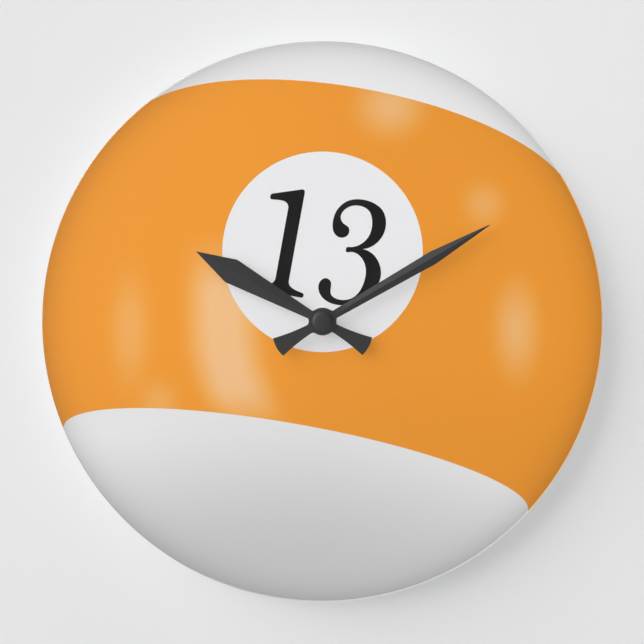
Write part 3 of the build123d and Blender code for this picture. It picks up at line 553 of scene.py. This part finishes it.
MATERIALS = {
    "acrylic": acrylic(),
    "print_white": print_white(),
    "print_dot": print_dot(),
    "print_orange": print_orange(),
    "print_black": print_black(),
    "hand_black": hand_paint(),
    "cap_black": plastic("cap_black", rgb(34, 34, 35), 0.4, grain=0.5, depth=0.003, edge=0.1),
    "brass": metal("brass", (0.78, 0.55, 0.24, 1.0), 0.25, (8, 8, 1)),
    "steel": metal("zinc_plated_steel", (0.62, 0.63, 0.66, 1.0), 0.3, (12, 1, 1), tarnish=0.25),
    "arbor_steel": metal("arbor_steel", (0.66, 0.66, 0.67, 1.0), 0.18, (1, 8, 1), tarnish=0.1),
    "iron": metal("soft_iron", (0.45, 0.45, 0.46, 1.0), 0.4, tarnish=0.45),
    "rubber": plastic("rubber", grey_level(0.018), 0.75, grain=0.25, depth=0.02, gloss=0.3),
    "case_black": plastic("case_black", grey_level(0.022), 0.42, grain=0.4, depth=0.02),
    "bridge_grey": plastic("bridge_grey", grey_level(0.22), 0.5),
    "gear_white": plastic("gear_white", (0.78, 0.77, 0.72, 1.0), 0.35, depth=0.005, edge=0.06),
    "bobbin": plastic("bobbin", (0.55, 0.5, 0.4, 1.0), 0.45),
    "copper": winding(),
    "board": board(),
    "resin": plastic("resin", grey_level(0.01), 0.18, grain=1.2, depth=0.01),
    "contact": metal("nickel_contact", (0.7, 0.68, 0.62, 1.0), 0.22, (1, 1, 10), tarnish=0.15),
    "magnet": metal("magnet", (0.2, 0.2, 0.21, 1.0), 0.5, tarnish=0.5),
    "cell_steel": metal("cell_steel", (0.68, 0.68, 0.69, 1.0), 0.2, tarnish=0.12),
    "cell_jacket": sleeve(),
}

for subpart in frame["record"]["subparts"]:
    node = frame["nodes"][subpart["node"]]
    node.data.materials.clear()
    node.data.materials.append(MATERIALS[subpart["material_slot"]])


# ---- dial sheet and the stack that holds it ----------------------------------------------------------

THREAD_R = 3.95                  # outside of the bushing's thread


def dial_sheet():
    """Acrylic disc with a hole, and a polished bevel around both faces. Its front ends inside the print."""
    rear, front = DIAL_Z
    into_print = front + 0.025
    profile = [(HOLE_R, rear), (FLAT_R, rear), (DIAL_R, rear + BEVEL), (DIAL_R, front - BEVEL)]
    profile += [(FLAT_R, front), (FLAT_R - 0.3, into_print), (HOLE_R, into_print)]
    bm = bmesh.new()
    lathe(bm, soften(profile, 0.08), steps=512)
    piece = piece_from("dial_sheet", bm, "acrylic", "clock_body", sharp=5)
    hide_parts("dial_disc")


def washer():
    """Flat washer with edges rounded by the press."""
    (_, rim), _, (rear, front) = span("dial_washer")
    bm = bmesh.new()
    lathe(bm, soften([(HOLE_R, rear), (rim, rear), (rim, front), (HOLE_R, front)], 0.12), steps=96)
    piece = piece_from("stamped_washer", bm, "steel", "clock_body", sharp=50)
    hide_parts("dial_washer")


def threaded_bushing():
    """Brass bushing: a flange inside the case, and a fine thread that the nut runs on."""
    (_, flange_r), _, (rear, front) = span("arbor_bushing")
    bore, root, pitch, flange_t = 2.56, 3.6, 0.75, 0.7
    foot = rear + flange_t
    turns = int((front - foot) / pitch) - 2
    steps = 72
    rows = []
    for i in range(steps):
        a = 2 * pi * i / steps
        column = [(bore, front), (bore, rear), (flange_r - 0.1, rear), (flange_r, rear + 0.1)]
        column += [(flange_r, foot), (THREAD_R, foot), (THREAD_R, foot + pitch)]
        start = foot + pitch * (1 + i / steps)
        for turn in range(turns):
            for share, r in ((0.0, THREAD_R), (0.12, THREAD_R), (0.5, root), (0.88, THREAD_R)):
                column.append((r, start + (turn + share) * pitch))
        column += [(THREAD_R, front - 0.3), (THREAD_R - 0.25, front)]
        rows.append([place(r * cos(a), r * sin(a), z) for r, z in column])
    bm = bmesh.new()
    grid(bm, rows)
    piece = piece_from("threaded_bushing", bm, "brass", "clock_body")
    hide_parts("arbor_bushing")


def hexagon_nut():
    """Brass nut whose front corners are turned off by a cone."""
    _, (low, high), (rear, front) = span("dial_nut")
    flat_r = (high - low) / 2
    turned_off, cone = 0.15, 0.45
    steps = 144
    rows = []
    for i in range(steps):
        a = 2 * pi * i / steps
        from_flat = (a + pi / 2) % (pi / 3) - pi / 6
        r = flat_r / cos(from_flat)
        crown = front - (r - flat_r + turned_off) * cone
        column = [(THREAD_R + 0.25, rear), (r - 0.08, rear), (r, rear + 0.08), (r, crown)]
        column += [(flat_r - turned_off, front), (THREAD_R + 0.3, front)]
        column += [(THREAD_R, front - 0.3), (THREAD_R, rear + 0.25)]
        rows.append([place(q * cos(a), q * sin(a), z) for q, z in column])
    bm = bmesh.new()
    grid(bm, rows)
    piece = piece_from("hexagon_nut", bm, "brass", "clock_body", sharp=20)
    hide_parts("dial_nut")


# ---- hands -------------------------------------------------------------------------------------------

COLLAR_H = 0.6                   # the collar behind a hand's hub: its height and its wall
COLLAR_T = 1.2
TAIL_BULGE = 0.8                 # how far the round end of a tail stands out
RIDGE_RISE = 6.0                 # the ridge comes up over this length outside the hub
SIDE_MIN = 0.18                  # least height of a blade's sides
HALF_WIDTH_MIN = 0.02            # half the width that a blade keeps at its very ends


def hand_outline(node, turn):
    """A CAD hand's vertices, as distances along the hand's axis and across it."""
    c, s = cos(turn), sin(turn)
    points = [(v.co.x / MM, v.co.z / MM) for v in frame["nodes"][node].data.vertices]
    return [(x * c + y * s, y * c - x * s) for x, y in points]


def blade_stations(outline):
    """Distances along a hand's axis from its tail to its tip, close together over the tail's round end."""
    along = [x for x, _ in outline]
    tail, tip = min(along), max(along)
    start = tail + TAIL_BULGE
    round_steps, steps = 12, 120
    stations = [tail + TAIL_BULGE * (1 - cos(pi / 2 * k / round_steps)) for k in range(round_steps)]
    return stations + [start + (tip - start) * k / steps for k in range(steps + 1)]


def half_widths(node, outline, stations):
    """Half the width of a CAD hand at each station, read from the edges of its mesh."""
    widths = []
    for station in stations:
        best = 0.0
        for edge in frame["nodes"][node].data.edges:
            (xa, ya), (xb, yb) = (outline[v] for v in edge.vertices)
            if (xa - station) * (xb - station) <= 0 and abs(xb - xa) > 1e-6:
                best = max(best, abs(ya + (yb - ya) * (station - xa) / (xb - xa)))
        widths.append(best)
    return widths


def blade(bm, node, turn, rear, ridge, slope):
    """A blade along one hand's axis, closed at both ends.

    The tail and the stretch beside the hub are flat. Further out the blade has a ridge, as high as ridge,
    and falls by slope to both sides.
    """
    outline = hand_outline(node, turn)
    stations = blade_stations(outline)
    widths = half_widths(node, outline, stations)
    widths[0] = widths[-1] = 0.0
    c, s = cos(turn), sin(turn)
    rows = []
    for x, w in zip(stations, widths):
        w = max(w, HALF_WIDTH_MIN)
        soft = min(0.1, w * 0.4)
        crest = min(0.22, w * 0.3)
        flat_share = max(0.0, 1 - max(0.0, abs(x) - HUB_R) / RIDGE_RISE)
        fall = slope * (1 - flat_share) if x > 0 else 0.0
        side = max(SIDE_MIN, ridge - fall * w)
        half = [
            (w - soft, 0.0), (w, soft), (w, side - soft), (w - soft * 0.4, side - soft * 0.25),
            (w - soft, ridge - fall * (w - soft)), (crest, ridge - fall * crest),
            (crest * 0.5, ridge - fall * crest * 0.62), (0.0, ridge - fall * crest * 0.5),
        ]
        loop = half + [(-y, z) for y, z in reversed(half[:-1])]
        rows.append([place(x * c - y * s, x * s + y * c, rear + z) for y, z in loop])
    made = grid(bm, rows, close_rows=False)
    bm.faces.new(made[0])
    bm.faces.new(made[-1])


def hand(name, node, turn, bore, slope, body):
    """A stamped hand: ridged blade, flat round hub and the collar that grips its pipe."""
    _, _, (low, front) = span(node)
    rear = low + COLLAR_H
    bm = bmesh.new()
    blade(bm, node, turn, rear, front - rear, slope)
    piece = piece_from(name, bm, "hand_black")
    hub = bmesh.new()
    collar = bore + COLLAR_T
    profile = [(bore, low), (collar, low), (collar, rear), (HUB_R, rear), (HUB_R, front), (bore, front)]
    lathe(hub, soften(profile, 0.1), steps=128)
    centre = bmesh.new()
    cleared, below, above = bore + 0.2, rear - 0.5, front + 0.5
    lathe(centre, [(0.0, below), (cleared, below), (cleared, above), (0.0, above)], steps=64)
    boolean(piece, piece_from("centre", centre, "hand_black"), "DIFFERENCE")
    boolean(piece, piece_from("hub", hub, "hand_black"), "UNION")
    piece.data.polygons.foreach_set("use_smooth", [True] * len(piece.data.polygons))
    piece.data.set_sharp_from_angle(angle=radians(12))
    piece.modifiers.new("weighted", "WEIGHTED_NORMAL").keep_sharp = True
    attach(piece, body)
    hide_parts(node)


def cap():
    """Cap over the minute pipe: a groove at its foot, a round shoulder, a sloping band and a flat top."""
    (_, r), _, (rear, front) = span("hand_cap")
    bore_end = rear + 0.75
    foot = r - 0.35
    profile = [(MINUTE_BORE, bore_end), (MINUTE_BORE, rear)]
    profile += [(foot, rear), (foot, rear + 0.2), (r, rear + 0.32)]
    round_r = 0.7
    inner, shelf = r - round_r, front - 0.3
    steps = 8
    for k in range(steps):
        a = pi / 2 * k / steps
        profile.append((inner + round_r * cos(a), shelf - round_r + round_r * sin(a)))
    profile += [(inner - 0.1, shelf), (inner - 0.75, front - 0.03), (inner - 1.0, front)]
    profile += [(0.0, front), (0.0, bore_end)]
    bm = bmesh.new()
    lathe(bm, profile, steps=128)
    piece = piece_from("domed_cap", bm, "cap_black", "minute_hand_set")
    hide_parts("hand_cap")


# ---- battery cell ------------------------------------------------------------------------------------

def cell():
    """AA cell: a steel can with a dished foot and a nub, in a sleeve that stops short of both ends."""
    (x0, x1), _, _ = span("battery_can")
    _, (low, high), (rear, front) = span("battery_jacket")
    y, z = (low + high) / 2, (rear + front) / 2
    r = (high - low) / 2
    can_r, nub_r, nub = r - 0.15, 2.6, 1.2
    shoulder = x1 - nub
    ledge, groove = shoulder - 0.05, shoulder - 0.3
    profile = [(0.0, x0 + 0.15), (4.6, x0 + 0.15), (5.0, x0), (can_r - 0.5, x0), (can_r, x0 + 0.5)]
    profile += [(can_r, shoulder - 0.5), (can_r - 0.4, ledge), (5.6, ledge), (5.3, groove), (3.4, groove)]
    profile += [(3.1, shoulder), (nub_r, shoulder), (nub_r, x1 - 0.2), (nub_r - 0.2, x1), (0.0, x1)]
    bm = bmesh.new()
    lathe_along_x(bm, profile, y, z)
    can = piece_from("cell_can", bm, "cell_steel", "battery", sharp=40)
    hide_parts("battery_can")
    inner, lip, start, end = can_r + 0.02, r - 0.05, x0 + 0.6, shoulder - 0.6
    jacket = [(inner, start), (lip, start), (r, start + 0.25), (r, end - 0.25), (lip, end), (inner, end)]
    bm = bmesh.new()
    lathe_along_x(bm, jacket, y, z)
    skin = piece_from("cell_sleeve", bm, "cell_jacket", "battery", sharp=60)
    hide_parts("battery_jacket")


# ---- moulded marks on the rear cover -----------------------------------------------------------------

MARK_T = 0.15                    # how far the marks stand out behind the case
BAR = 0.6                        # width of the plus's and minus's bars
FRAME_BAR = 0.4                  # width of the label frame's


def raised(name, outlines, top_z=-MARK_T, foot_z=0.05, body="clock_body", slot="case_black"):
    """Low moulded ridges on a rear face: each outline is a closed polygon in the face frame."""
    bm = bmesh.new()
    for points in outlines:
        outline = soften(points, 0.05)
        top = [bm.verts.new(place(x, y, top_z)) for x, y in outline]
        foot = [bm.verts.new(place(x, y, foot_z)) for x, y in outline]
        bm.faces.new(top)
        bm.faces.new(foot)
        for i in range(len(top)):
            k = (i + 1) % len(top)
            bm.faces.new((top[i], top[k], foot[k], foot[i]))
    piece_from(name, bm, slot, body)


def stroke(x0, y0, x1, y1, width):
    """A straight bar as a closed outline, which reaches half its width past both ends."""
    start, end = Vector((x0, y0)), Vector((x1, y1))
    along = (end - start).normalized() * width / 2
    across = Vector((-along.y, along.x))
    corners = (start - along - across, end + along - across, end + along + across, start - along + across)
    return [corner.to_tuple() for corner in corners]


def polarity_marks():
    """Plus and minus above the ends of the cell bay. The plus is a bar with a post above and below it."""
    y = -9.0
    x, half = 22.7, 1.7
    raised("plus_bar", [stroke(x - half, y, x + half, y, BAR)])
    raised("plus_post", [stroke(x, y + 0.45, x, y + half, BAR), stroke(x, y - half, x, y - 0.45, BAR)])
    raised("minus_bar", [stroke(-25.2, y, -21.8, y, BAR)])


def knob_marks():
    """A turning arrow around the setting knob, and the knob's own finger grip."""
    (left, right), (low, high), (knob_rear, _) = span("setting_knob")
    x, y = (left + right) / 2, (low + high) / 2
    inner, outer = 7.7, 8.3
    begin, end = radians(95), radians(200)
    steps = 24
    angles = [begin + (end - begin) * k / steps for k in range(steps + 1)]
    arc = [(x + outer * cos(a), y + outer * sin(a)) for a in angles]
    arc += [(x + inner * cos(a), y + inner * sin(a)) for a in reversed(angles)]
    raised("turn_arc", [arc])
    head = [(inner - 0.9, begin - 0.01), (outer + 0.9, begin - 0.01), ((inner + outer) / 2, begin - 0.26)]
    raised("turn_arrowhead", [[(x + r * cos(a), y + r * sin(a)) for r, a in head]])
    reach, grip_t, width = 4.3, 0.4, 1.3
    grip = stroke(x - reach, y, x + reach, y, width)
    raised("knob_grip", [grip], knob_rear - grip_t, knob_rear + 0.05, "setting_knob_set", "gear_white")


def label_frame():
    """An empty frame for a label."""
    x0, x1, y0, y1 = -2.0, 22.0, 8.0, 19.0
    rails = [stroke(x0, y, x1, y, FRAME_BAR) for y in (y0, y1)]
    stiles = [stroke(x, y0 + 0.45, x, y1 - 0.45, FRAME_BAR) for x in (x0, x1)]
    raised("label_frame", rails + stiles)


dial_sheet()
washer()
threaded_bushing()
hexagon_nut()
hand("hour_hand_blade", "hour_hand", HOUR_TURN, HOUR_BORE, slope=0.10, body="hour_hand_set")
hand("minute_hand_blade", "minute_hand", MINUTE_TURN, MINUTE_BORE, slope=0.20, body="minute_hand_set")
cap()
cell()
polarity_marks()
knob_marks()
label_frame()


# ---- wall, floor, light and camera -------------------------------------------------------------------

AMBIENT = 0.14                   # even light from all round
BACKDROP = 0.80                  # what the camera sees past the wall and the floor
WALL_Y = 0.4 * MM                # the wall's face, just behind the clock's rear marks
FLOOR_Z = -0.9
FAR = 6.0                        # how far the wall and the floor reach


def sheet(name, corners, material):
    """A flat four-cornered part of the surroundings."""
    mesh = bpy.data.meshes.new(name)
    mesh.from_pydata(corners, [], [(0, 1, 2, 3)])
    mesh.materials.append(material)
    plane = bpy.data.objects.new(name, mesh)
    scene.collection.objects.link(plane)
    return plane


def wall_paint():
    """Pale paint, there only where the camera sees its front, so that the clock's back can be seen too."""
    s = Shader("wall_paint")
    mottled = s.mix(s.ramp(s.noise(300.0, 2.0), 0.3, 0.7), grey_level(0.795), grey_level(0.805))
    grain = s.bump(s.noise(1.5, 3.0), 0.01)
    paint = s.add("ShaderNodeBsdfDiffuse", {"Color": mottled, "Normal": grain}).outputs[0]
    path = s.add("ShaderNodeLightPath").outputs
    looking = s.math("MAXIMUM", path["Is Camera Ray"], path["Is Transmission Ray"])
    behind = s.add("ShaderNodeNewGeometry").outputs["Backfacing"]
    seen = s.math("MULTIPLY", looking, s.math("SUBTRACT", 1.0, behind))
    clear = s.add("ShaderNodeBsdfTransparent").outputs[0]
    return s.done(s.add("ShaderNodeMixShader", {0: seen, 1: clear, 2: paint}).outputs[0])


def floor_paint():
    """Matt pale floor that fades into the backdrop with distance."""
    s = Shader("floor_paint")
    mottled = s.mix(s.ramp(s.noise(400.0, 2.0), 0.3, 0.7), grey_level(0.64), grey_level(0.67))
    near = s.principled(base_color=mottled, roughness=0.8, specular_ior_level=0.1)
    far = s.add("ShaderNodeEmission", {"Color": grey_level(BACKDROP)}).outputs[0]
    away = s.vector_math("LENGTH", s.where)
    return s.done(s.add("ShaderNodeMixShader", {0: s.ramp(away, 1.2, 4.0), 1: near, 2: far}).outputs[0])


sheet(
    "wall",
    [(-FAR, WALL_Y, FLOOR_Z), (FAR, WALL_Y, FLOOR_Z), (FAR, WALL_Y, FAR), (-FAR, WALL_Y, FAR)],
    wall_paint(),
)
floor = sheet(
    "floor",
    [(-FAR, -FAR, FLOOR_Z), (FAR, -FAR, FLOOR_Z), (FAR, FAR, FLOOR_Z), (-FAR, FAR, FLOOR_Z)],
    floor_paint(),
)
floor.visible_diffuse = False    # no light comes back up from the floor


def lamp(name, towards, share, spread, glossy=True, past_hands=False):
    """A distant lamp in the direction towards. It makes a white surface that faces it as bright as share.

    A lamp that shines past the hands leaves them out of its shadows, so that the hands' shadows stay faint.
    """
    data = bpy.data.lights.new(name, "SUN")
    data.energy = share * pi
    data.angle = radians(spread)
    light = bpy.data.objects.new(name, data)
    light.rotation_mode = "QUATERNION"
    light.rotation_quaternion = Vector(towards).to_track_quat("Z", "Y")
    light.visible_glossy = glossy
    scene.collection.objects.link(light)
    if past_hands:
        skipped = bpy.data.collections.new(name + "_skips")
        for piece in ("hour_hand_blade", "minute_hand_blade", "domed_cap"):
            skipped.objects.link(bpy.data.objects[piece])
        light.light_linking.blocker_collection = skipped
        for item in skipped.collection_objects:
            item.light_linking.link_state = "EXCLUDE"


def up_left(tilt):
    """A direction over the top left of the dial, this many degrees off the line straight out of it."""
    t = radians(tilt)
    return (sin(t) * cos(LIGHT_FROM), -cos(t), sin(t) * sin(LIGHT_FROM))


lamp("key", up_left(30), 0.12 / cos(radians(30)), 29, past_hands=True)
lamp("window", up_left(61), 0.305 / cos(radians(61)), 70)
lamp("fill", (0, -1, 0), 0.41, 18, glossy=False, past_hands=True)
lamp("overhead", (0, 0, 1), 0.5, 20, glossy=False)
lamp("rear_key", (-0.5, 0.7, 0.5), 0.6, 30)
lamp("rear_fill", (0.15, 0.97, -0.1), 0.35, 30)


def surroundings():
    """Pale room: dim as ambient light, with a broad bright panel, up and to the left, for reflections."""
    s = Shader("studio", "worlds", "Generated")
    reflected = s.ramp(s.vector_math("DOT_PRODUCT", s.where, up_left(41)), 0.75, 0.95, 0.3, 1.3)
    path = s.add("ShaderNodeLightPath").outputs
    level = s.choose(path["Is Glossy Ray"], AMBIENT, reflected)
    level = s.choose(path["Is Camera Ray"], level, BACKDROP)
    background = s.add("ShaderNodeBackground", {"Color": s.grey(level), "Strength": 1.0}).outputs[0]
    scene.world = s.done(background, "ShaderNodeOutputWorld")


def straight_camera():
    """Straight in front of the dial. In the plane of the dial's face it sees a width of view_w."""
    view_w, off_axis = 313.4, -0.24
    data = bpy.data.cameras.new("camera")
    data.lens = 100
    data.sensor_width = 36
    distance = view_w * data.lens / data.sensor_width
    camera = bpy.data.objects.new("camera", data)
    camera.location = place(off_axis, off_axis, DIAL_Z[1] + distance)
    camera.rotation_euler = (pi / 2, 0, 0)
    scene.collection.objects.link(camera)
    scene.camera = camera


surroundings()
straight_camera()
scene.view_settings.view_transform = "Standard"
